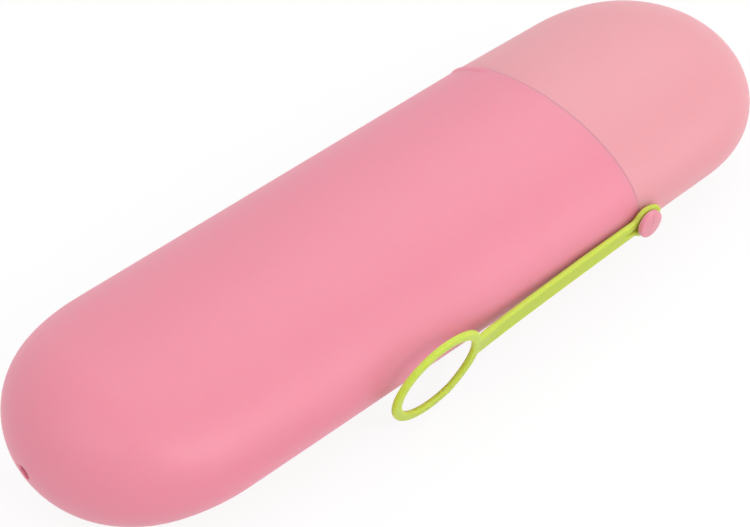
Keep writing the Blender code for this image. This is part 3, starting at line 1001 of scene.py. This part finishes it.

# %% [markdown]
# ## Standing in for the solids
#
# Each piece takes the place of one solid, is given its own material, and rides on the body that
# moves it. So the cap slides off and the strap swings as they do in the imported model.

# %% Dress the pieces and let them ride
PIECES = (
    (case_body, "body", "body_shell", "body_pink", body_pink),
    (case_cap, "cap", "cap_shell", "cap_pink", cap_pink),
    (button, "body", "strap_button", "button_pink", button_pink),
    (strap, "strap", "hanging_strap", "strap_lime", strap_lime),
)
for piece, body, node, slot, material in PIECES:
    piece.data.materials.clear()
    piece.data.materials.append(material)
    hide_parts(node)
    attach(piece, body)
    print(piece.name, "stands for", node, "and rides on", body)

# %% [markdown]
# ## The table
#
# A product photo on white: a pale table, an even white surround and four softboxes. A table made
# white by light alone would need more light than the case can bear. So it glows a little, but only
# to the camera, and the part of it that doesn't glow takes the soft shadow.

# %% Make the table
TABLE_SIZE = 4.0
TABLE_COLOUR = linear(244, 244, 244)
TABLE_GLOW_SHARE = 0.88
TABLE_DROP = 0.02 * MM
WHITE_STRENGTH = 1.0


def seen_directly(nodes, links):
    """1 for what the camera sees, or sees mirrored or through glass, and 0 for other light."""
    path = nodes.new("ShaderNodeLightPath")
    seen = nodes.new("ShaderNodeMath")
    seen.operation = "MAXIMUM"
    links.new(path.outputs["Is Camera Ray"], seen.inputs[0])
    links.new(path.outputs["Is Glossy Ray"], seen.inputs[1])
    every = nodes.new("ShaderNodeMath")
    every.operation = "MAXIMUM"
    links.new(seen.outputs["Value"], every.inputs[0])
    links.new(path.outputs["Is Transmission Ray"], every.inputs[1])
    return every.outputs["Value"]


def table_material():
    """White to the camera, plain pale grey to the light, with a soft shadow kept."""
    material = bpy.data.materials.new("table_white")
    material.use_nodes = True
    nodes, links = material.node_tree.nodes, material.node_tree.links
    nodes.remove(nodes["Principled BSDF"])
    output = nodes["Material Output"]
    matt = nodes.new("ShaderNodeBsdfDiffuse")
    matt.inputs["Color"].default_value = TABLE_COLOUR
    glow = nodes.new("ShaderNodeEmission")
    glow.inputs["Strength"].default_value = WHITE_STRENGTH
    share = nodes.new("ShaderNodeMath")
    share.operation = "MULTIPLY"
    share.inputs[1].default_value = TABLE_GLOW_SHARE
    links.new(seen_directly(nodes, links), share.inputs[0])
    blend = nodes.new("ShaderNodeMixShader")
    links.new(share.outputs["Value"], blend.inputs["Fac"])
    links.new(matt.outputs["BSDF"], blend.inputs[1])
    links.new(glow.outputs["Emission"], blend.inputs[2])
    links.new(blend.outputs["Shader"], output.inputs["Surface"])
    return material


table_mesh = bmesh.new()
bmesh.ops.create_grid(table_mesh, x_segments=1, y_segments=1, size=TABLE_SIZE / 2)
bmesh.ops.translate(table_mesh, vec=(0.0, 0.0, -TABLE_DROP), verts=table_mesh.verts)
table = finish_mesh(table_mesh, "table")
table.data.materials.append(table_material())
print("the table is", TABLE_SIZE, "m wide")

# %% [markdown]
# ## The white surround
#
# The world is plain white to the camera. On the case it is an even light of its own strength, which
# fills the shadows without washing out the pinks.

# %% Make the surround
WORLD_STRENGTH = 0.775


def white_world():
    """A white background to the camera, and an even light of its own strength on the case."""
    world = bpy.data.worlds.new("white_surround")
    world.use_nodes = True
    nodes, links = world.node_tree.nodes, world.node_tree.links
    background = nodes["Background"]
    background.inputs["Color"].default_value = (1.0, 1.0, 1.0, 1.0)
    strength = nodes.new("ShaderNodeMapRange")
    strength.inputs["To Min"].default_value = WORLD_STRENGTH
    strength.inputs["To Max"].default_value = WHITE_STRENGTH
    links.new(seen_directly(nodes, links), strength.inputs["Value"])
    links.new(strength.outputs["Result"], background.inputs["Strength"])
    bpy.context.scene.world = world
    return world


surround = white_world()
print(surround.name, "lights the case with a strength of", WORLD_STRENGTH)

# %% [markdown]
# ## The lamps
#
# Four square softboxes stand round the case and face its middle. The near one is half as wide as
# the others, so the shadow that the strap throws on the body is firmer. Two more light the cap from
# its near and its far side, and the last one lights the body's end.

# %% Set up the softboxes
LAMP_DISTANCE = 0.8
# Each lamp's name, azimuth from +X and elevation in degrees, power in watts and width in metres.
LAMPS = (
    ("near_softbox", -90, 42, 1.32, 0.25),
    ("near_cap_softbox", -52, 26, 0.83, 0.5),
    ("far_cap_softbox", 25, 52, 1.07, 0.5),
    ("body_end_softbox", 180, 50, 0.81, 0.5),
)


def softbox(name, azimuth, elevation, power, size):
    """A square lamp that faces the case from an azimuth, counted from +X, and an elevation."""
    light = bpy.data.lights.new(name, "AREA")
    light.shape = "SQUARE"
    light.size = size
    light.energy = power
    turn, lift = math.radians(azimuth), math.radians(elevation)
    level = math.cos(lift)
    away = Vector((math.cos(turn) * level, math.sin(turn) * level, math.sin(lift)))
    lamp = bpy.data.objects.new(name, light)
    lamp.location = Vector((0.0, 0.0, MID_Z)) + away * LAMP_DISTANCE
    lamp.rotation_euler = (-away).to_track_quat("-Z", "Y").to_euler()
    bpy.context.scene.collection.objects.link(lamp)
    print(name, "gives", power, "W")


for lamp_values in LAMPS:
    softbox(*lamp_values)

# %% [markdown]
# ## The camera
#
# The camera looks down on the case from the front left with a long lens, so the case runs from
# corner to corner. The Standard view shows each colour as it was written.

# %% Set up the camera
CAMERA_AZIMUTH = math.radians(-42.857)
CAMERA_ELEVATION = math.radians(43.831)
CAMERA_ROLL = math.radians(0.16)
CAMERA_DISTANCE = 440.655 * MM
CAMERA_LENS_MM = 93.99
LOOK_AT = Vector((-11.518 * MM, -2.279 * MM, MID_Z))


def add_camera():
    """Look at the case from the front left, from above."""
    level = math.cos(CAMERA_ELEVATION)
    back = Vector((
        math.sin(CAMERA_AZIMUTH) * level,
        -math.cos(CAMERA_AZIMUTH) * level,
        math.sin(CAMERA_ELEVATION),
    ))
    right = Vector((math.cos(CAMERA_AZIMUTH), math.sin(CAMERA_AZIMUTH), 0.0))
    up = back.cross(right)
    turn = Matrix((right, up, back)).transposed() @ Matrix.Rotation(CAMERA_ROLL, 3, "Z")
    camera = bpy.data.objects.new("camera", bpy.data.cameras.new("camera"))
    camera.data.lens = CAMERA_LENS_MM
    camera.matrix_world = Matrix.Translation(LOOK_AT + CAMERA_DISTANCE * back) @ turn.to_4x4()
    bpy.context.scene.collection.objects.link(camera)
    bpy.context.scene.camera = camera


add_camera()
bpy.context.scene.view_settings.view_transform = "Standard"
print("the camera stands", round(CAMERA_DISTANCE / MM), "mm from what it looks at")
